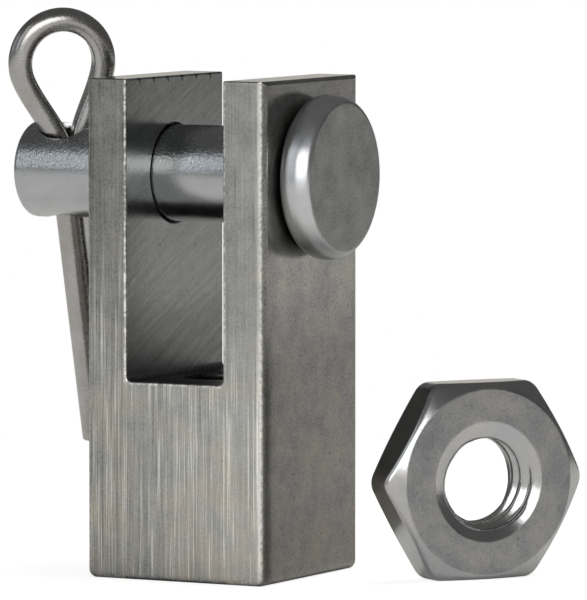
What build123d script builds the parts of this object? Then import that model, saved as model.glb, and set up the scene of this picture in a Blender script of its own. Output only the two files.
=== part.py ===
from build123d import *
import math
import os

# Clevis rod end with its headed clevis pin, cotter pin and jam nut.
# Frame: origin at the mouth of the rod's threaded hole, in the middle of the
# bottom face. Z points up the body, X runs along the clevis pin with the head at
# +X, and the slot opens towards -Y and +Y. All sizes are in millimetres.

# Clevis body, cut from square bar.
bar_side = 9.525
bar_height = 23.6
bar_corner_radius = 0.40
bar_bottom_radius = 0.36
bar_top_radius = 0.18
slot_width = 5.18
slot_depth = 14.24
slot_floor_height = bar_height - slot_depth
slot_corner_radius = 0.28

# Tapped hole for the rod, number 10-32: the plain bore is the minor diameter.
thread_minor_radius = 2.00
thread_major_radius = 2.413
thread_mouth_chamfer = 0.35

# Clevis pin, turned, with a flat head.
pin_radius = 2.30
pin_clearance = 0.09
pin_below_top = 4.63
pin_axis_height = bar_height - pin_below_top
cotter_x = -8.13
pin_past_cotter = 2.05
pin_end_x = cotter_x - pin_past_cotter
pin_end_radius = 0.40
head_gap = 0.0975
head_inner_x = bar_side / 2 + head_gap
head_thickness = 1.70
head_outer_x = head_inner_x + head_thickness
head_radius = 3.89
head_underside_radius = 0.70
head_rim_inset = 0.22
head_face_radius = 3.62

# Cotter pin of half-round wire, its two legs lying flat to flat.
wire_radius = 0.617
wire_depth = 1.085
leg_gap = 0.03
leg_length = 13.4
leg_split_height = 1.2
eye_radius_across = 1.49
eye_radius_along = 1.58
eye_centre_across = 0.04
eye_centre_along = 5.30
eye_sweep = 110.0
eye_lead_in = 0.8
cotter_lean = 13.0
cotter_yaw = 38.9

# Cross hole for the cotter pin, countersunk at both ends.
cross_hole_clearance = 0.165
cross_hole_radius = wire_depth + leg_gap / 2 + cross_hole_clearance
countersink_radius = 1.52
countersink_depth = 0.50

# Jam nut, standing on one of its flats beside the body.
nut_across_flats = 9.32
nut_thickness = 2.28
nut_corner_radius = 0.12
nut_face_radius = 4.36
nut_chamfer_angle = 30.0
nut_front_countersink_radius = 2.86
nut_front_countersink_depth = 0.80
nut_rear_countersink_radius = 2.40
nut_rear_countersink_depth = 0.30
nut_centre_x = 11.65
nut_centre_y = 3.70
nut_turn = 55.0

os.makedirs("parts", exist_ok=True)

# Planes that place the pieces.
pin_plane = Plane(origin=(0, 0, pin_axis_height), x_dir=(1, 0, 0), z_dir=(0, -1, 0))
pin_axis = Axis((0, 0, pin_axis_height), (1, 0, 0))

lean = math.radians(cotter_lean)
yaw = math.radians(cotter_yaw)
cross_axis_dir = Vector(0, -math.sin(lean), math.cos(lean))
cross_side_dir = Vector(0, math.cos(lean), math.sin(lean))
cross_centre = Vector(cotter_x, 0, pin_axis_height)
eye_dir = Vector(1, 0, 0) * math.cos(yaw) + cross_side_dir * math.sin(yaw)
cross_plane = Plane(origin=cross_centre, x_dir=eye_dir, z_dir=eye_dir.cross(cross_axis_dir))
leg_tip = cross_centre - cross_axis_dir * leg_length + eye_dir * (leg_gap / 2)
leg_tip_plane = Plane(origin=leg_tip, x_dir=eye_dir, z_dir=cross_axis_dir)

nut_angle = math.radians(nut_turn)
nut_side_dir = Vector(math.cos(nut_angle), math.sin(nut_angle), 0)
nut_face_dir = Vector(math.sin(nut_angle), -math.cos(nut_angle), 0)
nut_centre = Vector(nut_centre_x, nut_centre_y, nut_across_flats / 2)
nut_back = nut_centre - nut_face_dir * (nut_thickness / 2)
nut_plane = Plane(origin=nut_back, x_dir=nut_side_dir, z_dir=nut_face_dir)
nut_section_plane = Plane(origin=nut_back, x_dir=(0, 0, 1), z_dir=nut_side_dir)
nut_axis = Axis(nut_back, nut_face_dir)

# Body: a square bar with softened edges, a slot across the top, bores for the pin
# through both ears and a tapped hole up from the bottom into the slot.
with BuildPart() as clevis_body:
    with BuildSketch(Plane.XY):
        RectangleRounded(bar_side, bar_side, bar_corner_radius)
    extrude(amount=bar_height)
    fillet(clevis_body.faces().sort_by(Axis.Z)[0].edges(), bar_bottom_radius)
    fillet(clevis_body.faces().sort_by(Axis.Z)[-1].edges(), bar_top_radius)
    with BuildSketch(Plane.XZ) as slot_outline:
        with Locations((0, bar_height)):
            Rectangle(slot_width, 2 * slot_depth)
        fillet(slot_outline.vertices().group_by(Axis.Y)[0], slot_corner_radius)
    extrude(amount=bar_side, both=True, mode=Mode.SUBTRACT)
    with BuildSketch(Plane.YZ):
        with Locations((0, pin_axis_height)):
            Circle(pin_radius + pin_clearance)
    extrude(amount=bar_side, both=True, mode=Mode.SUBTRACT)
    with BuildSketch(Plane.XZ):
        with BuildLine():
            Polyline(
                (0, 0),
                (thread_minor_radius + thread_mouth_chamfer, 0),
                (thread_minor_radius, thread_mouth_chamfer),
                (thread_minor_radius, slot_floor_height + slot_corner_radius),
                (0, slot_floor_height + slot_corner_radius),
                close=True,
            )
        make_face()
    revolve(axis=Axis.Z, mode=Mode.SUBTRACT)

# Clevis pin: shank, rounded end and flat head turned as one profile, then the cross
# hole with its two countersinks.
with BuildPart() as clevis_pin:
    with BuildSketch(pin_plane):
        with BuildLine():
            Line((pin_end_x, 0), (pin_end_x, pin_radius - pin_end_radius))
            RadiusArc(
                (pin_end_x, pin_radius - pin_end_radius),
                (pin_end_x + pin_end_radius, pin_radius),
                pin_end_radius,
            )
            Line((pin_end_x + pin_end_radius, pin_radius), (head_inner_x, pin_radius))
            Line((head_inner_x, pin_radius), (head_inner_x, head_radius - head_underside_radius))
            RadiusArc(
                (head_inner_x, head_radius - head_underside_radius),
                (head_inner_x + head_underside_radius, head_radius),
                head_underside_radius,
            )
            Polyline(
                (head_inner_x + head_underside_radius, head_radius),
                (head_outer_x - head_rim_inset, head_radius),
                (head_outer_x, head_face_radius),
                (head_outer_x, 0),
                (pin_end_x, 0),
            )
        make_face()
    revolve(axis=pin_axis)
    with BuildSketch(cross_plane):
        with BuildLine():
            Polyline(
                (0, -pin_radius - countersink_depth),
                (2 * countersink_radius - cross_hole_radius, -pin_radius - countersink_depth),
                (cross_hole_radius, -pin_radius + countersink_depth),
                (cross_hole_radius, pin_radius - countersink_depth),
                (2 * countersink_radius - cross_hole_radius, pin_radius + countersink_depth),
                (0, pin_radius + countersink_depth),
                close=True,
            )
        make_face()
    revolve(axis=Axis(cross_centre, cross_axis_dir), mode=Mode.SUBTRACT)

# Cotter pin: the flat inner side of the wire follows one planar path, up one leg,
# out along a limb, round the oval eye and down to the other leg. The half-round
# section is swept along it, always on the outer side.
split_across = leg_gap / 2
eye_end_angle = math.radians(90 - eye_sweep)
eye_end_along = eye_centre_along + eye_radius_along * math.sin(eye_end_angle)
right_end_across = eye_centre_across + eye_radius_across * math.cos(eye_end_angle)
left_end_across = eye_centre_across - eye_radius_across * math.cos(eye_end_angle)
eye_run = -eye_radius_across * math.sin(eye_end_angle)
eye_rise = eye_radius_along * math.cos(eye_end_angle)
right_pull = math.hypot(right_end_across - split_across, eye_end_along - leg_split_height) / 3
left_pull = math.hypot(left_end_across + split_across, eye_end_along - leg_split_height) / 3
right_share = right_pull / math.hypot(eye_run, eye_rise)
left_share = left_pull / math.hypot(eye_run, eye_rise)

with BuildPart() as cotter_pin:
    with BuildLine(cross_plane) as wire_path:
        Line((split_across, -leg_length), (split_across, leg_split_height))
        Bezier(
            (split_across, leg_split_height),
            (split_across, leg_split_height + eye_lead_in * right_pull),
            (right_end_across - right_share * eye_run, eye_end_along - right_share * eye_rise),
            (right_end_across, eye_end_along),
        )
        EllipticalCenterArc(
            (eye_centre_across, eye_centre_along),
            eye_radius_across,
            eye_radius_along,
            start_angle=90 - eye_sweep,
            arc_size=2 * eye_sweep,
        )
        Bezier(
            (left_end_across, eye_end_along),
            (left_end_across + left_share * eye_run, eye_end_along - left_share * eye_rise),
            (-split_across, leg_split_height + eye_lead_in * left_pull),
            (-split_across, leg_split_height),
        )
        Line((-split_across, leg_split_height), (-split_across, -leg_length))
    with BuildSketch(leg_tip_plane):
        with Locations((wire_depth - wire_radius, 0)):
            Circle(wire_radius)
        with Locations((wire_depth / 2, 0)):
            Rectangle(wire_depth, 2 * wire_radius, mode=Mode.INTERSECT)
    sweep(path=wire_path.line)

# Jam nut: a hexagon, chamfered at both faces, with a countersunk tapped hole.
chamfer_slope = math.tan(math.radians(nut_chamfer_angle))
nut_blank_radius = nut_across_flats / math.sqrt(3)
nut_chamfer_depth = (nut_blank_radius - nut_face_radius) * chamfer_slope
front_countersink_start = nut_thickness - nut_front_countersink_depth

with BuildPart() as jam_nut:
    with BuildSketch(nut_plane) as nut_outline:
        RegularPolygon(nut_across_flats / 2, 6, major_radius=False)
        fillet(nut_outline.vertices(), nut_corner_radius)
    extrude(amount=nut_thickness)
    with BuildSketch(nut_section_plane):
        with BuildLine():
            Polyline(
                (0, 0),
                (nut_face_radius, 0),
                (nut_blank_radius, nut_chamfer_depth),
                (nut_blank_radius, nut_thickness - nut_chamfer_depth),
                (nut_face_radius, nut_thickness),
                (0, nut_thickness),
                close=True,
            )
        make_face()
    revolve(axis=nut_axis, mode=Mode.INTERSECT)
    with BuildSketch(nut_section_plane):
        with BuildLine():
            Polyline(
                (0, 0),
                (nut_rear_countersink_radius, 0),
                (thread_minor_radius, nut_rear_countersink_depth),
                (thread_minor_radius, front_countersink_start),
                (nut_front_countersink_radius, nut_thickness),
                (0, nut_thickness),
                close=True,
            )
        make_face()
    revolve(axis=nut_axis, mode=Mode.SUBTRACT)

clevis_body.part.label = "clevis_body"
export_step(clevis_body.part, "parts/clevis_body.step")
clevis_pin.part.label = "clevis_pin"
export_step(clevis_pin.part, "parts/clevis_pin.step")
cotter_pin.part.label = "cotter_pin"
export_step(cotter_pin.part, "parts/cotter_pin.step")
jam_nut.part.label = "jam_nut"
export_step(jam_nut.part, "parts/jam_nut.step")
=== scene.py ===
import math

import bmesh
import bpy
import numpy as np
from bpy.props import FloatProperty, FloatVectorProperty, PointerProperty
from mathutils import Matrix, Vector


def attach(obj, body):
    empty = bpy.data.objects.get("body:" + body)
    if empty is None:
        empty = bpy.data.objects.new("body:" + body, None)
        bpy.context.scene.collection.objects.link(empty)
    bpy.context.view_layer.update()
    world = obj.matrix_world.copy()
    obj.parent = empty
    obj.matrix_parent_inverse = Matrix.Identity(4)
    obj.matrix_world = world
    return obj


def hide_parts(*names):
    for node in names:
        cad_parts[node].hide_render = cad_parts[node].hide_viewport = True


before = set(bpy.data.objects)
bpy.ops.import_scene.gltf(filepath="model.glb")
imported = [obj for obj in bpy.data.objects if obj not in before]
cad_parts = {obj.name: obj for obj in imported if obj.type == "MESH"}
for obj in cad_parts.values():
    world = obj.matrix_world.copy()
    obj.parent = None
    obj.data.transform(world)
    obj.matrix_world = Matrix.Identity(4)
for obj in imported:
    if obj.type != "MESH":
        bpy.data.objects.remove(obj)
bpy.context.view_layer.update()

bl_info = {
    "name": "Clevis rod end",
    "version": (1, 0, 0),
    "blender": (4, 5, 0),
    "location": "View3D > Sidebar > Clevis",
    "description": "Builds a clevis rod end with its clevis pin, cotter pin and jam nut",
    "category": "Add Mesh",
}

MM = 0.001  # one millimetre in the scene's metres
HOLD = 0.02  # how far outside a rounding its holding row lies, in millimetres
SAME = 1e-6  # lengths closer than this are taken as equal
RIGHT_ANGLE = math.pi / 2


# Shapes. Every function below works in millimetres in the part's own frame.


def round_off(points, radii, steps=6):
    """A polyline with rounded corners. Each corner becomes a circle arc of its radius,
    written as a rational quadratic curve whose middle weight is the cosine of half the
    turn, with one more point just outside either end of the arc. The points may carry
    a second axis, such as the angle round a nut."""
    points = np.asarray(points, float)
    share = np.linspace(0, 1, steps + 1).reshape(-1, *([1] * (points.ndim - 1)))
    rows = [points[:1]]
    for i, radius in enumerate(radii[1:-1], 1):
        if radius == 0:
            rows.append(points[i : i + 1])
            continue
        back = points[i - 1] - points[i]
        ahead = points[i + 1] - points[i]
        back /= np.linalg.norm(back, axis=-1, keepdims=True)
        ahead /= np.linalg.norm(ahead, axis=-1, keepdims=True)
        bend = np.clip(np.sum(-back * ahead, axis=-1, keepdims=True), -1, 1)
        half_turn = np.arccos(bend) / 2
        reach = radius * np.tan(half_turn)
        start, end = points[i] + back * reach, points[i] + ahead * reach
        first, last = (1 - share) ** 2, share**2
        middle = 2 * np.cos(half_turn) * share * (1 - share)
        arc = (first * start + middle * points[i] + last * end) / (first + middle + last)
        rows += [(start + back * HOLD)[None], arc, (end + ahead * HOLD)[None]]
    rows.append(points[-1:])
    return np.concatenate(rows)


def square_ring(count):
    """Evenly spaced angles from minus 45 degrees round a full turn, with their points on a
    circle of radius 1 and on a square of half side 1. The last angle closes the ring."""
    angle = np.linspace(-math.pi / 4, 7 * math.pi / 4, 4 * count + 1)
    circle = np.stack([np.cos(angle), np.sin(angle)], -1)
    return angle, circle, circle / np.max(np.abs(circle), axis=-1, keepdims=True)


def square_lines(half, count):
    """Where grid lines cross a square of this half side, so that they meet its ring."""
    return half * np.tan(np.linspace(-math.pi / 4, math.pi / 4, count + 1))


def at_depth(flat, depth):
    """Flat points with their depth added as a third number."""
    return np.concatenate([flat, np.full((len(flat), 1), float(depth))], 1)


def stood_up(flat, depth):
    """Points of the front view, moved back by their depth."""
    return np.stack(np.broadcast_arrays(flat[..., 0], depth, flat[..., 1]), -1)


def quads(grid, keep=None):
    """The four corners of every cell of a grid of points, as one array. Keep says which
    cells stay."""
    cells = np.stack([grid[:-1, :-1], grid[:-1, 1:], grid[1:, 1:], grid[1:, :-1]], axis=2)
    return cells[keep] if keep is not None else cells.reshape(-1, 4, 3)


def add_piece(context, name, cells, loops=()):
    """Makes one mesh of cells and of flat loops. Points that lie together become one, so
    that seams and poles close, and the faces are turned outwards."""
    corners = [c.reshape(-1, 3) for c in cells]
    sizes = [np.full(len(c), 4) for c in cells]
    corners = np.concatenate([*corners, *loops])
    sizes = np.concatenate([*sizes, [len(loop) for loop in loops]]).astype(int)
    _, first, index = np.unique(
        np.round(corners, 5) + 0.0, axis=0, return_index=True, return_inverse=True)
    index = index.reshape(-1)
    # a corner goes where the next one in its face is the same point, and a face goes
    # where fewer than three corners are left
    follow = np.arange(len(index)) + 1
    ends = np.cumsum(sizes)
    follow[ends - 1] = ends - sizes
    stays = index != index[follow]
    face_of = np.repeat(np.arange(len(sizes)), sizes)
    stays &= np.bincount(face_of[stays], minlength=len(sizes))[face_of] >= 3
    left = np.bincount(face_of[stays], minlength=len(sizes))
    left = left[left > 0]
    mesh = bpy.data.meshes.new(name)
    mesh.vertices.add(len(first))
    mesh.vertices.foreach_set("co", (corners[first] * MM).ravel())
    mesh.loops.add(int(left.sum()))
    mesh.loops.foreach_set("vertex_index", index[stays].astype(np.int32))
    mesh.polygons.add(len(left))
    mesh.polygons.foreach_set("loop_start", (np.cumsum(left) - left).astype(np.int32))
    mesh.update(calc_edges=True)
    mesh.validate()
    shell = bmesh.new()
    shell.from_mesh(mesh)
    bmesh.ops.recalc_face_normals(shell, faces=shell.faces)
    shell.to_mesh(mesh)
    shell.free()
    mesh.polygons.foreach_set("use_smooth", np.ones(len(mesh.polygons), bool))
    piece = bpy.data.objects.new(name, mesh)
    context.scene.collection.objects.link(piece)
    return piece


def block_outline(corners, insets, radii, stops, steps=6):
    """A block outline with right-angled corners, run anticlockwise. Each side is moved in
    by its own inset, each corner is a quarter circle, and the stops are the places on a
    side where grid lines must pass. Also returns each point's inset, blended from side
    to side round a corner."""
    corners = np.asarray(corners, float)
    along = np.roll(corners, -1, axis=0) - corners
    along /= np.linalg.norm(along, axis=1, keepdims=True)
    inward = np.stack([-along[:, 1], along[:, 0]], 1) * insets[:, None]
    moved = corners + inward + np.roll(inward, 1, axis=0)
    turn = np.linspace(0, RIGHT_ANGLE, steps + 1)[:, None]
    points, widths = [], []
    for i, corner in enumerate(moved):
        before, after = along[i - 1], along[i]
        centre = corner - before * radii[i] + after * radii[i]
        points.append(centre + radii[i] * (before * np.sin(turn) - after * np.cos(turn)))
        widths.append(insets[i - 1] + (insets[i] - insets[i - 1]) * turn[:, 0] / RIGHT_ANGLE)
        following = (i + 1) % len(moved)
        line = np.repeat((corner + after * (radii[i] + HOLD))[None], len(stops[i]) + 2, axis=0)
        line[1:-1, int(np.argmax(np.abs(after)))] = stops[i]
        line[-1] = moved[following] - after * (radii[following] + HOLD)
        points.append(line)
        widths.append(np.full(len(line), insets[i]))
    points, widths = np.concatenate(points), np.concatenate(widths)
    return np.concatenate([points, points[:1]]), np.append(widths, widths[0])


def hole_rows(depths, radius, rim, ring, half, steps=5):
    """Rows of a round hole between two faces: from a square on the first face in to the
    rim, over its quarter circle, along the wall, and out to a square on the second."""
    _, circle, square = ring
    turn = np.linspace(0, RIGHT_ANGLE, steps)
    reach = np.concatenate([[radius + rim + HOLD], radius + rim * (1 - np.sin(turn)), [radius]])
    sunk = np.concatenate([[0], rim * (1 - np.cos(turn)), [rim + HOLD]])
    way = math.copysign(1, depths[1] - depths[0])
    rows = []
    for depth, into in zip(depths, (way, -way)):
        edge = [at_depth(square * half, depth)]
        edge += [at_depth(circle * r, depth + into * s) for r, s in zip(reach, sunk)]
        rows += edge if into == way else edge[::-1]
    return np.array(rows)


def thread_rows(size, low, high, angle, flat=0.2, steps=3):
    """Rows of a right-handed internal thread. The grid follows the helix: height is pitch
    times the turn count, and the radius goes from the minor to the major one and back
    over each pitch, with a flat on both. Rows are cut off at the two ends."""
    pitch, deep = size.thread_pitch, size.thread_major - size.thread_minor
    crest, root, climb = flat / 2, 0.5 - flat / 4, 0.5 + flat / 4
    sink = np.linspace(crest, root, steps + 1)[1:]
    rise = np.linspace(climb, 1 - crest, steps + 1)[1:]
    share = np.concatenate([[0, crest], sink, [climb], rise])
    count = int(math.ceil((high - low) / pitch)) + 1
    turns = (np.arange(-1, count)[:, None] + share).ravel()
    helix = angle / (2 * math.pi)
    height = np.clip(low + pitch * (turns[:, None] + helix), low, high)
    phase = (height - low) / pitch - helix
    phase -= np.floor(phase)
    cut = np.interp(phase, [0, crest, root, climb, 1 - crest, 1], [0, 0, 1, 1, 0, 0])
    return height, size.thread_minor + deep * cut


def body_cells(size):
    """Clevis body. Its skin is the fork's outline carried from the front face to the back
    one. At both faces it goes from the face's own outline to the full one over a quarter
    of an ellipse, by its own inset on each side. Square patches are left out of the skin,
    and rings run from them to the round holes."""
    half, wall, top = size.bar_side / 2, size.slot_width / 2, size.bar_height
    floor, pin_height = top - size.slot_depth, top - size.pin_below_top
    count, patch, edge_steps = 24, 3.0, 8  # a patch's cells along a side, and half the side
    margin, lip = 0.06, 0.06  # beside the slot floor's patch, and round the hole in it
    thread_end, fade = floor - 0.3, 1.2  # top of the thread, and its slope back to there
    floor_patch = wall - size.slot_corner - margin
    pin_lines = pin_height + square_lines(patch, count)
    rod_lines, floor_lines = square_lines(patch, count), square_lines(floor_patch, count)
    corners = [(-half, 0), (half, 0), (half, top), (wall, top),
               (wall, floor), (-wall, floor), (-wall, top), (-half, top)]
    stops = [rod_lines, pin_lines, [], pin_lines[::-1],
             floor_lines[::-1], pin_lines, [], pin_lines[::-1]]
    edge, slot_edge, top_edge = size.bar_edge, size.slot_edge, size.top_edge
    insets = np.array(
        [size.bottom_edge, edge, top_edge, slot_edge, slot_edge, slot_edge, top_edge, edge])
    foot, brow, corner = size.bottom_corner, size.top_corner, size.slot_corner
    outer_radii = [foot, foot, brow, slot_edge, corner, corner, slot_edge, brow]
    face_foot, face_brow, face_ear, face_corner = 0.16, 0.07, 0.04, corner + slot_edge
    face_radii = [face_foot, face_foot, face_brow, face_ear,
                  face_corner, face_corner, face_ear, face_brow]
    outer, _ = block_outline(corners, np.zeros(8), outer_radii, stops)
    face, widths = block_outline(corners, insets, face_radii, stops)
    inner, _ = block_outline(corners, insets + HOLD, face_radii, stops)
    # the skin, from the front face to the back one
    turn, widths = np.linspace(0, RIGHT_ANGLE, edge_steps), widths[:, None]
    rounded = face[:, None] + (outer - face)[:, None] * np.sin(turn)[:, None]
    rounded = np.concatenate([rounded, outer[:, None]], axis=1)
    sunk = np.concatenate([widths * (1 - np.cos(turn)), widths + HOLD], axis=1) - half
    front = stood_up(rounded, sunk)
    across = np.concatenate([[-half + edge + HOLD], rod_lines, [half - edge - HOLD]])
    back = front[:, ::-1] * [1, -1, 1]
    skin = np.concatenate([front, stood_up(outer[:, None], across), back], axis=1)
    # the patches, then the two faces, the pin's bores and the rod's hole
    x, y, z = np.moveaxis((skin[:-1, :-1] + skin[1:, 1:]) / 2, -1, 0)
    on_side = np.abs(z - pin_height) < patch
    on_bottom = (z < SAME) & (np.abs(x) < patch)
    on_floor = (np.abs(z - floor) < SAME) & (np.abs(x) < floor_patch)
    cells = [quads(skin, ~((np.abs(y) < patch) & (on_side | on_bottom | on_floor)))]
    for depth in (-half, half):
        cells.append(quads(np.stack([stood_up(face, depth), stood_up(inner, depth)])))
    loops = [stood_up(inner[:-1], depth) for depth in (-half, half)]
    ring = square_ring(count)
    bore = size.pin_radius + size.pin_clearance
    for way in (1, -1):
        rows = hole_rows((way * half, way * wall), bore, size.bore_edge, ring, patch)
        cells.append(quads(np.stack([rows[..., 2], rows[..., 0], rows[..., 1] + pin_height], -1)))
    angle, circle, square = ring
    height, radius = thread_rows(size, size.mouth_chamfer, thread_end, angle)
    radius = np.minimum(radius, size.thread_minor + np.clip(thread_end - height, 0, 1) * fade)
    rows = [at_depth(square * patch, 0)]
    rows.append(at_depth(circle * (size.thread_minor + size.mouth_chamfer), 0))
    rows += list(np.concatenate([circle * radius[..., None], height[..., None]], -1))
    rows.append(at_depth(circle * size.thread_minor, floor - lip))
    rows.append(at_depth(circle * (size.thread_minor + lip), floor))
    rows.append(at_depth(square * [floor_patch, patch], floor))
    cells.append(quads(np.array(rows)))
    return cells, loops


def pin_cells(size, lie):
    """Clevis pin: a profile turned round its axis, with rings round the two mouths of the
    countersunk cross hole. A mouth is where the cone, whose radius grows with height,
    meets the shank. It is found by going from one to the other until they agree."""
    shank, end = size.pin_radius, size.pin_end
    count, patch, patch_turn = 20, 1.6, math.radians(52)  # the patch round a mouth
    plain_count, steps, rounds = 25, 8, 12
    neck_round, rim_round, face_round = 0.12, 1.0, 0.30
    mouth_hold, mouth_lip, shallow, deeper = 0.05, 0.08, 0.02, 0.05
    hole_lines = lie.across + square_lines(patch, count)
    face = size.head_inner + size.head_thickness
    nose = round_off(
        [(end, 0), (end, shank), (hole_lines[0], shank)], [0, size.pin_end_edge, 0], steps)
    patched = np.stack([hole_lines[1:], np.full(count, shank)], -1)
    head = round_off(
        [(hole_lines[-1], shank), (size.head_inner, shank), (size.head_inner, size.head_radius),
         (face - size.rim_inset, size.head_radius), (face, size.head_face), (face, 0)],
        [0, neck_round, size.head_underside, rim_round, face_round, 0], steps)
    profile = np.concatenate([nose, patched, head[1:]])
    lines = square_lines(patch_turn, count)
    plain = np.linspace(patch_turn, math.pi - patch_turn, plain_count)[1:-1]
    half_round = np.append(lines, plain)
    around = np.concatenate([half_round, half_round + math.pi, lines[:1] + 2 * math.pi])
    spoke = np.cos(around)[:, None] * lie.up + np.sin(around)[:, None] * lie.side
    skin = profile[:, None, :1] * [1.0, 0, 0] + profile[:, None, 1:] * spoke + [0, 0, lie.height]
    spots = (profile[:-1, 0] + profile[1:, 0]) / 2
    on_hole = (np.abs(spots - lie.across) < patch) & (profile[:-1, 1] > shank - SAME)
    on_hole &= profile[:-1, 0] < hole_lines[-1] + SAME
    middle = (around[:-1] + around[1:]) / 2
    in_turn = (np.abs(middle) < patch_turn) | (np.abs(middle - math.pi) < patch_turn)
    cells = [quads(skin, ~(on_hole[:, None] & in_turn))]
    # the cross hole's upper half, and the lower one as its mirror image
    angle, circle, square = square_ring(count)
    slope = (size.sink_radius - size.hole_radius) / size.sink_depth

    def cone(height):
        """The hole's radius at a height above the pin's axis."""
        return np.maximum(size.hole_radius, size.sink_radius + slope * (height - shank))

    def crest(radius):
        """The shank's height where it stands this far from the hole's axis."""
        return np.sqrt(shank**2 - (radius * circle[:, 1]) ** 2)

    def on_shank(radius):
        """The same spots as a place along the pin and an angle round it."""
        return np.stack([radius * circle[:, 0], np.arcsin(radius * circle[:, 1] / shank)], -1)

    mouth = np.full_like(angle, size.sink_radius)
    for _ in range(rounds):
        mouth = cone(crest(mouth))
    outer, hold = square * [patch, patch_turn], on_shank(mouth + mouth_hold)
    rows = []
    for spot in (outer, (outer + hold) / 2, hold, on_shank(mouth)):
        rows.append([spot[:, 0], shank * np.sin(spot[:, 1]), shank * np.cos(spot[:, 1])])
    height = crest(mouth)
    cone_end = np.minimum(shank - size.sink_depth, height - shallow)
    for level in (height + mouth_lip * (cone_end - height), cone_end, cone_end - deeper):
        rows.append([*(cone(level) * circle.T), level])
    upper = np.array(rows).transpose(0, 2, 1)
    rows = np.concatenate([upper, upper[::-1] * [1, 1, -1]])
    hole = rows[..., :1] * [1.0, 0, 0] + rows[..., 1:2] * lie.side + rows[..., 2:] * lie.up
    cells.append(quads(hole + lie.cross_centre))
    return cells


def wire_path(size, side, steps=40, leg_steps=30, tip=0.1):
    """The flat inner side of the wire on one side of the eye, in the eye's plane: an
    elliptic arc from the top, then a cubic blend, then the straight leg, whose last rows
    are the tip's length apart. The blend leaves the arc along its tangent and enters the
    leg straight down."""
    sweep = math.pi / 2 - side * np.linspace(0, size.eye_sweep, steps)
    arc = np.stack([size.eye_shift + size.eye_across * np.cos(sweep),
                    size.eye_height + size.eye_along * np.sin(sweep)], -1)
    leave = arc[-1] - arc[-2]
    leave /= np.linalg.norm(leave)
    split = np.array([side * size.leg_gap / 2, size.split_height])
    pull = np.linalg.norm(arc[-1] - split) / 3
    bends = [arc[-1], arc[-1] + leave * pull, split + [0, size.lead_in * pull], split]
    share = np.linspace(0, 1, steps)[1:, None]
    rest = 1 - share
    weights = [rest**3, 3 * share * rest**2, 3 * share**2 * rest, share**3]
    blend = sum(weight * bend for weight, bend in zip(weights, bends))
    full = size.leg_length + size.split_height
    drop = np.append(np.linspace(0, full, leg_steps)[1:-1], [full - tip, full])
    leg = split - np.stack([np.zeros_like(drop), drop], -1)
    return np.concatenate([arc, blend, leg])


def cotter_cells(size, lie):
    """Cotter pin: the half-round section carried along the wire's path, tip to tip. The
    section is a circle arc closed by the flat, with its two corners cut. At a tip the
    section is scaled up from a point at its middle, over a few rows."""
    path = np.concatenate([wire_path(size, 1)[::-1], wire_path(size, -1)[1:]])
    along = np.gradient(path, axis=0)
    along /= np.linalg.norm(along, axis=1, keepdims=True)
    out = np.stack([along[:, 1], -along[:, 0]], -1)
    radius, centre = size.wire_radius, size.wire_depth - size.wire_radius
    lowest = math.asin(centre / radius)
    arc_count, flat_count = 29, 7
    cut_turn, cut_flat, cut_depth, cut_side = 0.22, 0.05, 0.022, 0.035
    arc = np.linspace(-lowest + cut_turn, math.pi + lowest - cut_turn, arc_count)
    round_side = np.stack([centre + radius * np.sin(arc), radius * np.cos(arc)], -1)
    flat_half = radius * math.cos(lowest) - cut_flat
    across = np.linspace(-flat_half, flat_half, flat_count)
    flat_side = np.stack([np.zeros(flat_count), across], -1)
    cut = np.array([[cut_depth, flat_half + cut_side]])
    section = np.concatenate([round_side, cut * [1, -1], flat_side, cut, round_side[:1]])
    middle = np.array([size.wire_depth / 2, 0])
    tip_scale = np.array([0, 0.5, 0.88, 0.96, 1.0])
    tip_depth = np.array([0, 0, 0, 0.02, 0.06])
    more, last = len(tip_scale) - 1, len(path) - 1
    scale = np.concatenate([tip_scale, np.ones(last - 1), tip_scale[::-1]])
    nudge = np.concatenate([tip_depth, np.zeros(last - 1), -tip_depth[::-1]])
    row = np.clip(np.arange(-more, last + more + 1), 0, last)
    spot = path[row] + along[row] * nudge[:, None]
    shape = middle + (section - middle) * scale[:, None, None]
    flat = spot[:, None] + shape[..., :1] * out[row][:, None]
    wire = flat[..., :1] * lie.eye + flat[..., 1:] * lie.up + shape[..., 1:] * lie.eye_normal
    return [quads(wire + lie.cross_centre)]


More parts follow.
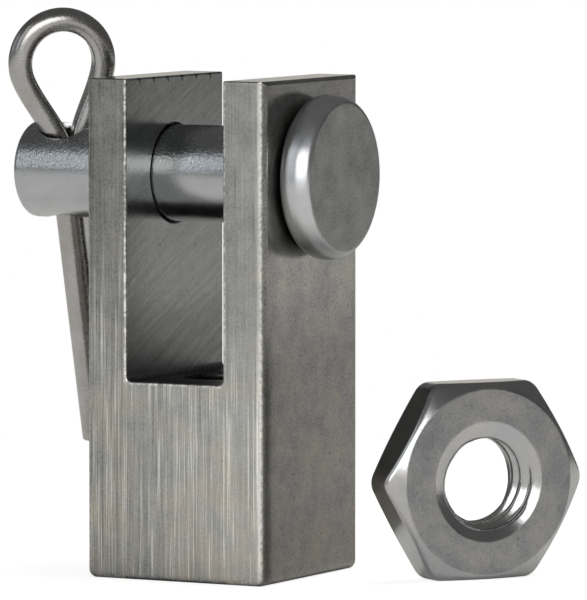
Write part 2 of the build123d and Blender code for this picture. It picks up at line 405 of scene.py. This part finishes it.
def nut_cells(size):
    """Jam nut: at each angle round its axis a profile runs from the thread over the front
    countersink, the face, the chamfer cone, the flat, and back. Away from a corner the
    rim's distance is half the size across flats over the cosine of the angle to the
    flat's middle; at a corner it follows a small circle."""
    corner, half = size.nut_corner, size.nut_thickness / 2
    near_count, near_reach, plain_count = 8, 1.2, 26  # rows crowd where a corner bends
    near = np.degrees(corner / size.nut_across) * np.linspace(0, near_reach, near_count)
    plain = np.linspace(near[-1], 60 - near[-1], plain_count)[1:-1]
    sector = np.concatenate([near, plain, 60 - near[:0:-1]])
    angle = np.radians(np.append((np.arange(6)[:, None] * 60 + sector).ravel(), 360.0))
    off = np.abs((angle + math.pi / 6) % (math.pi / 3) - math.pi / 6)
    away = (size.nut_across / 2 - corner) / math.cos(math.pi / 6)
    bend = math.atan(corner / 2 / (away + corner * math.cos(math.pi / 6)))
    arc = away * np.cos(off) + np.sqrt(np.maximum(corner**2 - (away * np.sin(off)) ** 2, 0))
    rim = np.where(off < bend, arc, size.nut_across / 2 / np.cos(math.pi / 6 - off))
    drop = (rim - size.nut_face) * math.tan(size.chamfer_angle)
    rear_drop = (rim - size.nut_face) * math.tan(size.rear_chamfer)
    mouth, thread_run = 0.08, 2  # the front cone's last row, and the thread's slope behind
    sink_slope = (size.front_sink - size.thread_minor) / size.front_sink_depth
    rear_slope = (size.rear_sink - size.thread_minor) / size.rear_sink_depth
    outline = (
        (size.front_sink - mouth * sink_slope, half - mouth), (size.front_sink, half),
        (size.nut_face, half), (rim, half - drop), (rim, rear_drop - half),
        (size.nut_face, -half), (size.rear_sink + HOLD, -half), (size.rear_sink, -half))
    points = np.array([np.broadcast_arrays(*point, angle)[:2] for point in outline])
    face_round, front_round, rear_round = 0.14, 0.42, 0.28
    profile = round_off(
        points.transpose(0, 2, 1),
        [0, face_round, face_round, front_round, rear_round, face_round, 0, 0])
    height, radius = thread_rows(size, -half, half - mouth, angle)
    radius = np.minimum(radius, size.rear_sink + thread_run * (height + half))
    front_cone = size.front_sink + (height - half) * sink_slope
    rear_cone = size.rear_sink - (height + half) * rear_slope
    inside = np.stack([np.maximum(radius, np.maximum(front_cone, rear_cone)), height], -1)
    rows = np.concatenate([inside, profile])
    side = np.array([math.cos(size.nut_turn), math.sin(size.nut_turn), 0])
    face = np.array([math.sin(size.nut_turn), -math.cos(size.nut_turn), 0])
    spoke = np.cos(angle)[:, None] * side + np.sin(angle)[:, None] * [0, 0, 1.0]
    middle = np.array([size.nut_x, size.nut_y, size.nut_across / 2])
    return [quads(rows[..., :1] * spoke + rows[..., 1:] * face + middle)]


# Finishes. Places in them are in millimetres too, and masks run from 0 to 1.


class Value:
    """A socket that Python's arithmetic can be written on. Each operation adds a node."""

    def __init__(self, nodes, socket):
        self.nodes, self.socket = nodes, socket

    def maths(self, operation, *sides):
        """A Math node on one value or on two."""
        return self.nodes.add("ShaderNodeMath", {"operation": operation}, sides)

    def __add__(self, other):
        return self.maths("ADD", self, other)

    def __mul__(self, other):
        return self.maths("MULTIPLY", self, other)

    def __sub__(self, other):
        return self.maths("SUBTRACT", self, other)

    def __rsub__(self, other):
        return self.maths("SUBTRACT", other, self)

    __radd__, __rmul__ = __add__, __mul__

    def absolute(self):
        return self.maths("ABSOLUTE", self)

    def fraction(self):
        return self.maths("FRACT", self)


class Nodes:
    """The node tree of a material or a world, emptied and built anew."""

    def __init__(self, owner):
        owner.use_nodes = True
        self.tree = owner.node_tree
        self.tree.nodes.clear()

    def add(self, kind, settings, inputs, output=0):
        """Adds a node, sets it, then fills its sockets with values or links."""
        node = self.tree.nodes.new(kind)
        for key, value in settings.items():
            setattr(node, key, value)
        for key, value in inputs.items() if isinstance(inputs, dict) else enumerate(inputs):
            if isinstance(value, Value):
                self.tree.links.new(value.socket, node.inputs[key])
            else:
                node.inputs[key].default_value = value
        return Value(self, node.outputs[output]) if node.outputs else node


class Finish(Nodes):
    """A material under construction. Its place is the piece's own coordinates in
    millimetres."""

    def __init__(self, name):
        self.material = bpy.data.materials.new(name)
        super().__init__(self.material)
        self.place = self.scaled(self.add("ShaderNodeTexCoord", {}, {}, "Object"), 1 / MM)

    def scaled(self, vector, factor):
        """A place or a colour, times a number."""
        inputs = {"Vector": vector, "Scale": factor}
        return self.add("ShaderNodeVectorMath", {"operation": "SCALE"}, inputs)

    def part(self, axis, where=None):
        """One of a place's three numbers."""
        return self.add("ShaderNodeSeparateXYZ", {}, [where or self.place], axis)

    def moved(self, scale=(1, 1, 1), turn=(0, 0, 0), shift=(0, 0, 0)):
        """The place shifted, turned and then stretched."""
        inputs = {"Vector": self.place, "Location": shift, "Rotation": turn}
        spun = self.add("ShaderNodeMapping", {"vector_type": "POINT"}, inputs)
        return self.add("ShaderNodeVectorMath", {"operation": "MULTIPLY"}, [spun, scale])

    def noise(self, scale, detail=3.0, rough=0.55, where=None):
        """Cloudy pattern from 0 to 1, this many cells to the millimetre."""
        inputs = {"Vector": where or self.place, "Scale": scale, "Detail": detail,
                  "Roughness": rough}
        return self.add("ShaderNodeTexNoise", {"noise_dimensions": "3D"}, inputs)

    def ramp(self, value, low, high, start=0.0, end=1.0):
        """A smooth step of the value, from start at low to end at high."""
        inputs = {"Value": value, "From Min": low, "From Max": high, "To Min": start, "To Max": end}
        return self.add("ShaderNodeMapRange", {"interpolation_type": "SMOOTHSTEP"}, inputs)

    def mix(self, share, *colours):
        """One colour turning to another."""
        ends = [colour if isinstance(colour, Value) else (*colour, 1) for colour in colours]
        inputs = {"Factor": share, 6: ends[0], 7: ends[1]}
        return self.add("ShaderNodeMix", {"data_type": "RGBA"}, inputs, 2)

    def metal(self, tint, level, rough, height, depth):
        """Closes the material: a metal of this tint times its level, with this roughness,
        and with a relief that is so many millimetres deep where the height is 1."""
        relief = {"Strength": 1.0, "Distance": depth * MM, "Height": height}
        skin = {"Base Color": self.scaled(tint, level), "Roughness": rough, "Metallic": 1.0,
                "Normal": self.add("ShaderNodeBump", {}, relief)}
        shader = self.add("ShaderNodeBsdfPrincipled", {}, skin)
        self.add("ShaderNodeOutputMaterial", {}, {"Surface": shader})
        return self.material


def body_finish(size):
    """Ground bar. The front and back carry upright grinding lines, some of them bright
    scratches, and worn edges lit by a painted highlight; the sides are mill-smooth with
    cloudy spots and dark specks, and carry a painted dark reflection by their front edge;
    the slot's walls carry slanting cutter marks, and painted shade darkens it to its floor."""
    f = Finish("ground bar steel")
    x, y, z = f.part(0), f.part(1), f.part(2)
    half, wall, top = size.bar_side / 2, size.slot_width / 2, size.bar_height
    floor = top - size.slot_depth
    front = f.ramp(y.absolute(), half - 0.16, half - 0.02)
    slot = f.ramp(x.absolute(), wall + 0.13, wall + 0.05)
    slot = slot * f.ramp(y.absolute(), half - 0.02, half - 0.06)
    grain, cloud, patch = f.noise(9, 3), f.noise(0.45, 4, 0.6), f.noise(1.6, 4, 0.6)
    # the front: lines all over, and bright scratches below
    lines = f.noise(1, 4, 0.7, f.moved((9, 9, 0.14)))
    scratch = f.noise(1, 2, 0.6, f.moved((15, 15, 0.17), shift=(3, 0, 7)))
    ground_from, ground_to = 16, 8  # heights between which the grinding grows strong
    lower = f.ramp(z + 6 * (cloud - 0.5) + 0.5 * x, ground_from, ground_to)
    lower = lower * f.ramp(z + 2 * (cloud - 0.5), 0.2, 1.8, 0.8, 1.0)
    bright = f.ramp(scratch, 0.52, 0.72) * (0.25 + 0.75 * lower)
    dull = f.ramp(scratch, 0.40, 0.28)
    face = 0.36 + 0.13 * lower + 0.022 * x + 0.22 * (cloud - 0.5)
    face = face + (0.14 + 0.44 * lower) * (lines - 0.5) + 0.24 * (patch - 0.5)
    face = face + 0.42 * bright - 0.14 * dull + 0.30 * (grain - 0.5)
    # the sides, darker lower down and near the foot, with a painted dark reflection along the front
    # edge, deepest low on the right side
    side = 0.375 + 0.26 * (cloud - 0.5) + 0.34 * (patch - 0.5) + 0.44 * (grain - 0.5)
    # painted dark reflection along the sides' front edge
    side = side * (1 - 0.15 * f.ramp(y, -3.2, -4.3))
    side = side * (1 - 0.14 * f.ramp(z + 4 * (cloud - 0.5), 16, 12))
    side = side * (1 - 0.10 * f.ramp(z, 6, 1))
    # painted dark reflection, deeper, low on the right side's front edge
    painted_dark_reflection = f.ramp(x, half - 0.16, half - 0.02) * f.ramp(z, 12.5, 9.5)
    painted_dark_reflection = painted_dark_reflection * f.ramp(y + 0.5 * (patch - 0.5), -3.85, -4.35)
    side = side * (1 - 0.5 * painted_dark_reflection)
    # the slot: cutter marks, painted shade that deepens down the slot and is darkest at its floor,
    # and a row of notches along its top
    mark = f.noise(1, 2, 0.6, f.moved((1, 0.3, 6), (math.radians(-25), 0, 0)))
    cut = 0.34 + 0.22 * (mark - 0.5) + 0.12 * (grain - 0.5)
    # painted shade: darker lower in the slot, darkest at its floor
    cut = cut - 0.09 * f.ramp(z, 16, 10) - 0.18 * f.ramp(z, floor + 0.34, floor + 0.02)
    notch_pitch, notch_slant = 1.38, 0.25
    tooth = ((y + notch_slant * (z - top)) * (1 / notch_pitch)).fraction()
    notch = f.ramp((tooth - 0.5).absolute() * 2.6 + (top - z), 0.42, 0.24)
    notch = notch * f.ramp(y, -4.4, -3.9)
    cut = cut * (1 - 0.75 * notch)
    level = side + slot * (cut - side) + front * (face - side)
    # dark specks and pits, mostly off the front, and on it worn edges brightened by a painted
    # highlight
    speck = f.ramp(f.noise(3.2, 3, 0.6), 0.60, 0.72)
    pit = f.ramp(f.noise(7.5, 1, 0.5, f.moved(shift=(4, 9, 2))), 0.72, 0.78)
    spotted = 1 - 0.8 * front - 0.5 * slot
    level = level * (1 - 0.4 * speck * spotted) * (1 - 0.45 * pit * spotted)
    # worn edges with a painted highlight along the slot's edges, its floor's edge and the outer
    # edges
    slot_edge_wear_and_highlight = f.ramp((x.absolute() - (wall + 0.05)).absolute(), 0.11, 0.04)
    slot_edge_wear_and_highlight = slot_edge_wear_and_highlight * f.ramp(z, floor - 0.16, floor + 0.04)
    floor_edge_wear_and_highlight = f.ramp((z - (floor - 0.05)).absolute(), 0.11, 0.04)
    floor_edge_wear_and_highlight = floor_edge_wear_and_highlight * f.ramp(x.absolute(), wall + 0.01, wall - 0.19)
    rim = slot_edge_wear_and_highlight + floor_edge_wear_and_highlight + f.ramp(x.absolute(), half - 0.28, half - 0.12)
    chips = f.ramp(f.noise(3.5, 2, 0.6, f.moved(shift=(6, 1, 3))), 0.42, 0.60)
    # the painted edge highlight, broken by chips
    level = level + 0.40 * (rim * front * chips)
    cast = f.ramp(cloud + 0.4 * (patch - 0.5) - 0.012 * z, 0.36, 0.60) * 0.7
    tint = f.mix(slot, f.mix(cast, size.bar_steel, size.bar_cast), size.slot_steel)
    rough = 0.20 + 0.14 * (patch - 0.5) + 0.20 * front * (1 - 0.5 * bright) + 0.04 * slot
    rough = rough + 0.18 * (1 - front) * f.ramp(z, 14, 10)
    relief = front * ((0.15 + 0.4 * lower) * lines + 0.6 * bright - 0.4 * dull)
    relief = relief + slot * 0.6 * mark + 0.35 * grain - 0.8 * pit * spotted + 0.3 * patch
    return f.metal(tint, level, rough, relief, 0.006)


def pin_finish(size, lie):
    """Bright turned pin. Its skin is finely crinkled, the rim of the head is smooth, and
    the head's face is matt and grey. Painted glints sparkle on the shank's upper half,
    which painted shade darkens a little, and painted shade darkens the rim's lower part."""
    f = Finish("turned pin steel")
    x, z = f.part(0), f.part(2) - lie.height
    end = size.head_inner + size.head_thickness
    grain, cloud = f.noise(9, 2), f.noise(0.8, 3)
    crinkle = f.noise(6.5, 3, 0.65, f.moved((0.7, 1, 1)))
    head = f.ramp(x, size.head_inner - 0.06, size.head_inner + 0.04)
    face = f.ramp(x, end - 0.06, end - 0.01)
    upper = (1 - head) * f.ramp(z, -0.07, 0.53)
    # painted glints: bright sparkles on the shank's upper half only
    painted_glint = f.ramp(f.noise(9, 2, 0.5, f.moved(shift=(2, 5, 1))), 0.62, 0.72) * upper
    level = 0.52 + 0.14 * head + 0.16 * (cloud - 0.5) + 0.10 * (grain - 0.5)
    level = level - face * (0.30 - 0.20 * (cloud - 0.5) - 0.24 * (grain - 0.5))
    # painted shade on the lower part of the head's rim
    level = level * (1 - 0.5 * (head - face) * f.ramp(z, -1.67, -3.27))
    # painted glints added, and painted shade on the shank's upper half
    level = level + 0.45 * painted_glint - 0.08 * upper
    tint = f.mix(face, size.pin_steel, size.face_steel)
    rough = 0.22 + 0.11 * head + 0.15 * face + 0.10 * (cloud - 0.5) + 0.10 * painted_glint
    relief = (0.25 + 0.75 * upper) * (crinkle + 0.4 * grain) + face * 0.2 * grain
    return f.metal(tint, level, rough, relief, 0.018)


def cotter_finish(size):
    """Drawn wire, bright and finely grained, with a brownish cast in places."""
    f = Finish("drawn wire steel")
    grain, cloud = f.noise(8, 3), f.noise(0.9, 3)
    level = 0.45 + 0.18 * (cloud - 0.5) + 0.16 * (grain - 0.5)
    tint = f.mix(f.ramp(cloud, 0.35, 0.65), size.wire_cast, size.wire_steel)
    return f.metal(tint, level, 0.20 + 0.12 * grain, grain + 0.5 * cloud, 0.004)


def nut_finish(size):
    """Bright pressed nut: smooth chamfers and threads, matt faces with dark specks."""
    f = Finish("pressed nut steel")
    grain, cloud = f.noise(9, 3), f.noise(0.7, 4, 0.6)
    inputs = {"Vector": f.place, "Location": (size.nut_x, size.nut_y, size.nut_across / 2),
              "Rotation": (0, 0, size.nut_turn)}
    off = f.part(1, f.add("ShaderNodeMapping", {"vector_type": "TEXTURE"}, inputs)).absolute()
    flat = f.ramp(off, size.nut_thickness / 2 - 0.04, size.nut_thickness / 2 - 0.01)
    speck = f.ramp(f.noise(4.5, 2, 0.5), 0.70, 0.77)
    level = 0.52 + 0.16 * (cloud - 0.5) + 0.12 * (grain - 0.5)
    level = level - flat * (0.13 - 0.26 * (cloud - 0.5) - 0.16 * (grain - 0.5))
    level = level * (1 - 0.5 * speck)
    tint = f.mix(f.ramp(cloud, 0.35, 0.65), size.nut_steel, size.nut_cast)
    rough = 0.20 + 0.20 * flat + 0.12 * (cloud - 0.5)
    relief = grain * (0.4 + 0.6 * flat) - 0.8 * speck + 0.6 * cloud
    return f.metal(tint, level, rough, relief, 0.005)


# Sizes and colours that a user would change. Lengths are kept in metres, as the scene is.


def length(name, description, millimetres):
    """A length setting, given in millimetres."""
    return FloatProperty(
        name=name, description=description, default=millimetres * MM, unit="LENGTH", precision=6)


def degrees(name, description, angle):
    """An angle setting, given in degrees."""
    return FloatProperty(
        name=name, description=description, default=math.radians(angle), subtype="ANGLE")


def proportion(name, description, default):
    """A setting between 0 and 1."""
    return FloatProperty(
        name=name, description=description, default=default, min=0, max=1, subtype="FACTOR")


def colour(name, description, default):
    """A colour setting."""
    return FloatVectorProperty(
        name=name, description=description, default=default, size=3, subtype="COLOR")


class Sizes:
    """Sets of settings read out together, with their lengths in millimetres."""

    def __init__(self, *groups):
        for group in groups:
            for key in group.__annotations__:
                value = getattr(group, key)
                if group.bl_rna.properties[key].unit == "LENGTH":
                    value /= MM
                setattr(self, key, value)


class ThreadSizes(bpy.types.PropertyGroup):
    """The rod's thread, in the body and in the nut"""

    thread_minor: length("Minor radius", "Radius at the crests of the internal thread", 2.00)
    thread_major: length("Major radius", "Radius at the roots of the internal thread", 2.413)
    thread_pitch: length("Pitch", "Distance from thread to thread", 0.794)


class BodySizes(bpy.types.PropertyGroup):
    """The square fork"""

    bar_side: length("Bar side", "Side of the square bar", 9.525)
    bar_height: length("Height", "Height of the body", 23.6)
    bar_edge: length("Upright edges", "Rounding of the bar's upright edges", 0.40)
    bottom_edge: length("Bottom edge", "Rounding round the bottom face", 0.30)
    top_edge: length("Top edge", "Rounding of the top of the ears", 0.10)
    bottom_corner: length("Bottom corners", "Rounding of the front face's bottom corners", 0.42)
    top_corner: length("Top corners", "Rounding of the front face's top corners", 0.18)
    slot_width: length("Slot width", "Width of the slot between the ears", 5.18)
    slot_depth: length("Slot depth", "Depth of the slot from the top", 14.24)
    slot_corner: length("Slot corners", "Rounding where the slot's floor meets the ears", 0.28)
    slot_edge: length("Slot edges", "Rounding of the slot's edges", 0.09)
    pin_below_top: length("Pin below top", "Distance from the top to the pin's axis", 4.63)
    pin_clearance: length("Pin clearance", "Radial play of the pin in the ears", 0.09)
    bore_edge: length("Bore edge", "Rounding of the rims of the pin bores", 0.06)
    mouth_chamfer: length("Mouth chamfer", "Chamfer at the mouth of the rod's hole", 0.35)
    bar_steel: colour("Steel", "Tint of the bar", (1.0, 0.995, 0.945))
    bar_cast: colour("Brown cast", "Tint of the bar's brownish spots", (1.0, 0.92, 0.78))
    slot_steel: colour("Slot steel", "Tint of the slot's walls", (0.95, 1.0, 0.97))


class PinSizes(bpy.types.PropertyGroup):
    """The clevis pin and its cross hole"""

    pin_radius: length("Pin radius", "Radius of the shank", 2.30)
    pin_end: length("Pin end", "Where the shank ends, along the pin", -10.18)
    pin_end_edge: length("End rounding", "Rounding of the shank's end", 0.20)
    head_inner: length("Head underside", "Where the head starts, along the pin", 4.86)
    head_thickness: length("Head thickness", "Thickness of the head", 1.70)
    head_radius: length("Head radius", "Radius of the head", 3.89)
    head_underside: length("Underside rounding", "Rounding from the underside to the rim", 0.72)
    rim_inset: length("Rim inset", "Depth of the bevel between rim and face", 0.45)
    head_face: length("Face radius", "Radius of the head's flat face", 3.58)
    hole_radius: length("Cross hole", "Radius of the hole for the cotter pin", 1.265)
    sink_radius: length("Countersink radius", "Its radius at the shank's crest", 1.52)
    sink_depth: length("Countersink depth", "Depth of the countersinks", 0.50)
    pin_steel: colour("Steel", "Tint of the pin", (0.97, 0.985, 1.0))
    face_steel: colour("Face steel", "Tint of the head's face", (0.98, 1.0, 0.98))


class CotterSizes(bpy.types.PropertyGroup):
    """The cotter pin and how it lies"""

    wire_radius: length("Wire radius", "Radius of the half-round wire's round side", 0.617)
    wire_depth: length("Wire depth", "Depth of the wire from flat to crest", 1.085)
    leg_gap: length("Leg gap", "Gap between the flats of the two legs", 0.03)
    leg_length: length("Leg length", "Reach of the legs below the pin's axis", 13.4)
    split_height: length("Split height", "Where the legs part, above the pin's axis", 1.2)
    eye_across: length("Eye width", "Half the eye's inner width", 1.49)
    eye_along: length("Eye length", "Half the eye's inner length", 1.58)
    eye_shift: length("Eye shift", "How far the eye lies to the right", 0.04)
    eye_height: length("Eye height", "Height of the eye's middle above the pin's axis", 5.30)
    eye_sweep: degrees("Eye sweep", "How far the eye's arc runs on each side of its top", 110)
    lead_in: proportion("Lead-in", "How long the legs stay straight as they part", 0.8)
    cotter_lean: degrees("Lean", "Lean of the cotter pin towards the front", 13)
    cotter_yaw: degrees("Yaw", "Turn of the eye about its own legs", 38.9)
    cotter_x: length("Place", "Where the cross hole lies, along the pin", -8.13)
    wire_steel: colour("Steel", "Tint of the wire", (0.99, 0.99, 0.98))
    wire_cast: colour("Brown cast", "Tint of the wire's brownish spots", (1.0, 0.96, 0.91))


class NutSizes(bpy.types.PropertyGroup):
    """The jam nut and where it stands"""

    nut_across: length("Across flats", "Distance across the flats", 9.32)
    nut_thickness: length("Thickness", "Thickness of the nut", 2.28)
    nut_corner: length("Corner rounding", "Rounding of the six corners", 0.80)
    nut_face: length("Face radius", "Radius of the flat ring where the chamfer starts", 4.36)
    chamfer_angle: degrees("Front chamfer", "Slope of the chamfer on the front", 30)
    rear_chamfer: degrees("Rear chamfer", "Slope of the chamfer on the back", 16)
    front_sink: length("Front countersink", "Radius of the front countersink", 2.86)
    front_sink_depth: length("Front depth", "Depth of the front countersink", 0.45)
    rear_sink: length("Rear countersink", "Radius of the rear countersink", 2.40)
    rear_sink_depth: length("Rear depth", "Depth of the rear countersink", 0.30)
    nut_x: length("Place across", "Where the nut stands, along the pin's axis", 11.65)
    nut_y: length("Place back", "Where the nut stands, front to back", 3.70)
    nut_turn: degrees("Turn", "Which way the nut faces", 55)
    nut_steel: colour("Steel", "Tint of the nut", (0.96, 0.99, 1.0))
    nut_cast: colour("Warm cast", "Tint of the nut's warmer spots", (1.0, 0.98, 0.95))


class StageSettings(bpy.types.PropertyGroup):
    """Light, floor and camera"""

    floor_colour: colour("Floor", "Colour of the floor", (0.9, 0.9, 0.9))
    surround: proportion("Surround", "Grey of the room that the steel mirrors", 0.115)
    lens: FloatProperty(
        name="Lens", description="Focal length of the camera", default=431.46, unit="CAMERA")


class ClevisSettings(bpy.types.PropertyGroup):
    """All of the part's settings"""

    thread: PointerProperty(type=ThreadSizes)
    body: PointerProperty(type=BodySizes)
    pin: PointerProperty(type=PinSizes)
    cotter: PointerProperty(type=CotterSizes)
    nut: PointerProperty(type=NutSizes)
    stage: PointerProperty(type=StageSettings)


class Lie:
    """How the cross hole and the cotter pin lie: up is the hole's axis, side lies square to
    it and to the pin, and eye lies across the cotter pin's eye."""

    def __init__(self, settings):
        body, cotter = Sizes(settings.body), Sizes(settings.cotter)
        lean, yaw = cotter.cotter_lean, cotter.cotter_yaw
        self.across = cotter.cotter_x
        self.height = body.bar_height - body.pin_below_top
        self.up = np.array([0, -math.sin(lean), math.cos(lean)])
        self.side = np.array([0, math.cos(lean), math.sin(lean)])
        self.eye = np.array([math.cos(yaw), 0, 0]) + self.side * math.sin(yaw)
        self.eye_normal = np.array([math.sin(yaw), 0, 0]) - self.side * math.cos(yaw)
        self.cross_centre = np.array([self.across, 0, self.height])


def put(piece, node, body, material):
    """Puts a finished piece in place of its CAD node, on the body it moves with."""
    piece.data.materials.append(material)
    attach(piece, body)
    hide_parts(node)
    return {"FINISHED"}


class CLEVIS_OT_body(bpy.types.Operator):
    """Build the square fork with its slot, bores and threaded hole"""

    bl_idname = "clevis.body"
    bl_label = "Clevis body"

    def execute(self, context):
        settings = context.scene.clevis
        size = Sizes(settings.body, settings.thread, settings.pin)
        piece = add_piece(context, "fork", *body_cells(size))
        return put(piece, "clevis_body", "body", body_finish(size))


class CLEVIS_OT_pin(bpy.types.Operator):
    """Build the clevis pin with its head and its cross hole"""

    bl_idname = "clevis.pin"
    bl_label = "Clevis pin"

    def execute(self, context):
        settings = context.scene.clevis
        size, lie = Sizes(settings.pin), Lie(settings)
        piece = add_piece(context, "headed_pin", pin_cells(size, lie))
        return put(piece, "clevis_pin", "pin", pin_finish(size, lie))


class CLEVIS_OT_cotter(bpy.types.Operator):
    """Bend the cotter pin from half-round wire"""

    bl_idname = "clevis.cotter"
    bl_label = "Cotter pin"

    def execute(self, context):
        settings = context.scene.clevis
        size = Sizes(settings.cotter)
        piece = add_piece(context, "split_wire", cotter_cells(size, Lie(settings)))
        return put(piece, "cotter_pin", "cotter", cotter_finish(size))


class CLEVIS_OT_nut(bpy.types.Operator):
    """Build the jam nut with its thread"""

    bl_idname = "clevis.nut"
    bl_label = "Jam nut"

    def execute(self, context):
        settings = context.scene.clevis
        size = Sizes(settings.nut, settings.thread)
        piece = add_piece(context, "hexagon_nut", nut_cells(size))
        return put(piece, "jam_nut", "body", nut_finish(size))


# Stage, in metres and degrees.

CAMERA_PLACE = Vector((0.162946, -0.298396, 0.038104))
CAMERA_AIM = Vector((0.003794, 0, 0.013116))
CAMERA_REACH = (0.02, 10)
SENSOR_WIDTH = 36  # in millimetres, as the lens is
LIGHT_AIM = Vector((0.004, 0, 0.012))
FLOOR_HALF = 2

# name, azimuth from the front to the right, elevation, distance, width, height, radiance,
# colour, and whether the steel mirrors it
LIGHTS = (
    ("front window", 20, 20, 0.60, 0.60, 0.36, 2.7, (1, 1, 1), True),
    ("strip", -33, 24, 0.50, 0.08, 0.36, 1.6, (0.86, 0.93, 1.0), True),
    ("left wall", -75, 16, 0.50, 0.30, 0.22, 0.30, (1, 1, 1), True),
    ("back wall", -145, 9, 0.60, 0.34, 0.18, 0.55, (1.0, 0.95, 0.88), True),
    ("top", 150, 70, 0.50, 0.34, 0.34, 4.3, (1.0, 0.97, 0.93), False),
)


def add_light(
        context, name, azimuth, elevation, distance, width, height, radiance, tint, mirrored):
    """A rectangular soft light, turned to the middle of the part and this far off from it.
    Its power is its area times pi times its radiance. The top light isn't mirrored: it
    lights only the floor and what isn't metal, and the steel then mirrors the floor."""
    azimuth, elevation = math.radians(azimuth), math.radians(elevation)
    flat = math.cos(elevation)
    off = Vector((math.sin(azimuth) * flat, -math.cos(azimuth) * flat, math.sin(elevation)))
    data = bpy.data.lights.new(name, "AREA")
    data.shape = "RECTANGLE"
    data.size, data.size_y, data.color = width, height, tint
    data.energy = math.pi * width * height * radiance
    light = bpy.data.objects.new(name, data)
    light.location = LIGHT_AIM + off * distance
    light.visible_glossy = mirrored
    light.rotation_euler = off.to_track_quat("Z", "Y").to_euler()
    context.scene.collection.objects.link(light)


def floor_finish(tint):
    """Pale floor. Seen straight from the camera it is lifted nearly to white, so that only
    the soft shadow shows, and away from the part it fades into the white background."""
    f = Finish("studio floor")
    shade, glow = 0.45, 0.80  # the lifted floor's own colour, and the light added to it
    fade_start, fade_end = 18, 70  # where the floor fades, in millimetres from the middle
    matt = f.add("ShaderNodeBsdfDiffuse", {}, {"Color": (*tint, 1)})
    shaded = f.add("ShaderNodeBsdfDiffuse", {}, {"Color": (shade, shade, shade, 1)})
    lift = f.add("ShaderNodeEmission", {}, {"Color": (1, 1, 1, 1), "Strength": glow})
    lifted = f.add("ShaderNodeAddShader", {}, [shaded, lift])
    white = f.add("ShaderNodeEmission", {}, {"Color": (1, 1, 1, 1), "Strength": 1.0})
    away = f.add("ShaderNodeVectorMath", {"operation": "LENGTH"}, [f.place], 1)
    fade = f.ramp(away, fade_start, fade_end)
    faded = f.add("ShaderNodeMixShader", {}, [fade, lifted, white])
    seen = f.add("ShaderNodeLightPath", {}, {}, "Is Camera Ray")
    surface = f.add("ShaderNodeMixShader", {}, [seen, matt, faded])
    f.add("ShaderNodeOutputMaterial", {}, {"Surface": surface})
    return f.material


def room(world, surround):
    """The world: white where the camera sees it, and a grey surround for the steel."""
    nodes = Nodes(world)
    around = nodes.add("ShaderNodeBackground", {}, {"Color": (surround, surround, surround, 1)})
    behind = nodes.add("ShaderNodeBackground", {}, {"Color": (1, 1, 1, 1)})
    seen = nodes.add("ShaderNodeLightPath", {}, {}, "Is Camera Ray")
    surface = nodes.add("ShaderNodeMixShader", {}, [seen, around, behind])
    nodes.add("ShaderNodeOutputWorld", {}, {"Surface": surface})


class CLEVIS_OT_stage(bpy.types.Operator):
    """Set the floor, the lights, the background and the camera"""

    bl_idname = "clevis.stage"
    bl_label = "Stage"

    def execute(self, context):
        settings = context.scene.clevis.stage
        scene = context.scene
        mesh = bpy.data.meshes.new("floor")
        square = [(-1, -1, 0), (1, -1, 0), (1, 1, 0), (-1, 1, 0)]
        mesh.from_pydata(np.array(square) * FLOOR_HALF, [], [(0, 1, 2, 3)])
        mesh.materials.append(floor_finish(settings.floor_colour))
        floor = bpy.data.objects.new("floor", mesh)
        scene.collection.objects.link(floor)
        scene.world = bpy.data.worlds.new("studio")
        room(scene.world, settings.surround)
        for light in LIGHTS:
            add_light(context, *light)
        data = bpy.data.cameras.new("camera")
        data.lens, data.sensor_width, data.sensor_fit = settings.lens, SENSOR_WIDTH, "AUTO"
        data.clip_start, data.clip_end = CAMERA_REACH
        camera = bpy.data.objects.new("camera", data)
        camera.location = CAMERA_PLACE
        camera.rotation_euler = (CAMERA_AIM - CAMERA_PLACE).to_track_quat("-Z", "Y").to_euler()
        scene.collection.objects.link(camera)
        scene.camera = camera
        scene.view_settings.view_transform = "Standard"
        return {"FINISHED"}


class CLEVIS_PT_panel(bpy.types.Panel):
    """The part's buttons and sizes"""

    bl_idname = "CLEVIS_PT_panel"
    bl_label = "Clevis rod end"
    bl_space_type = "VIEW_3D"
    bl_region_type = "UI"
    bl_category = "Clevis"

    def draw(self, context):
        for step in STEPS:
            self.layout.operator(step.bl_idname)
        for name in ClevisSettings.__annotations__:
            group, box = getattr(context.scene.clevis, name), self.layout.box()
            for key in group.__annotations__:
                box.prop(group, key)


GROUPS = (ThreadSizes, BodySizes, PinSizes, CotterSizes, NutSizes, StageSettings, ClevisSettings)
STEPS = (CLEVIS_OT_body, CLEVIS_OT_pin, CLEVIS_OT_cotter, CLEVIS_OT_nut, CLEVIS_OT_stage)


def register():
    """Makes the buttons, the panel and the settings known, the settings on the scene."""
    for kind in (*GROUPS, *STEPS, CLEVIS_PT_panel):
        bpy.utils.register_class(kind)
    bpy.types.Scene.clevis = PointerProperty(type=ClevisSettings)


def unregister():
    """Takes away what register adds."""
    del bpy.types.Scene.clevis
    for kind in reversed((*GROUPS, *STEPS, CLEVIS_PT_panel)):
        bpy.utils.unregister_class(kind)


def main():
    """Makes the settings known, then builds every piece and the stage."""
    register()
    bpy.ops.clevis.body()
    bpy.ops.clevis.pin()
    bpy.ops.clevis.cotter()
    bpy.ops.clevis.nut()
    bpy.ops.clevis.stage()


if __name__ == "__main__":
    main()
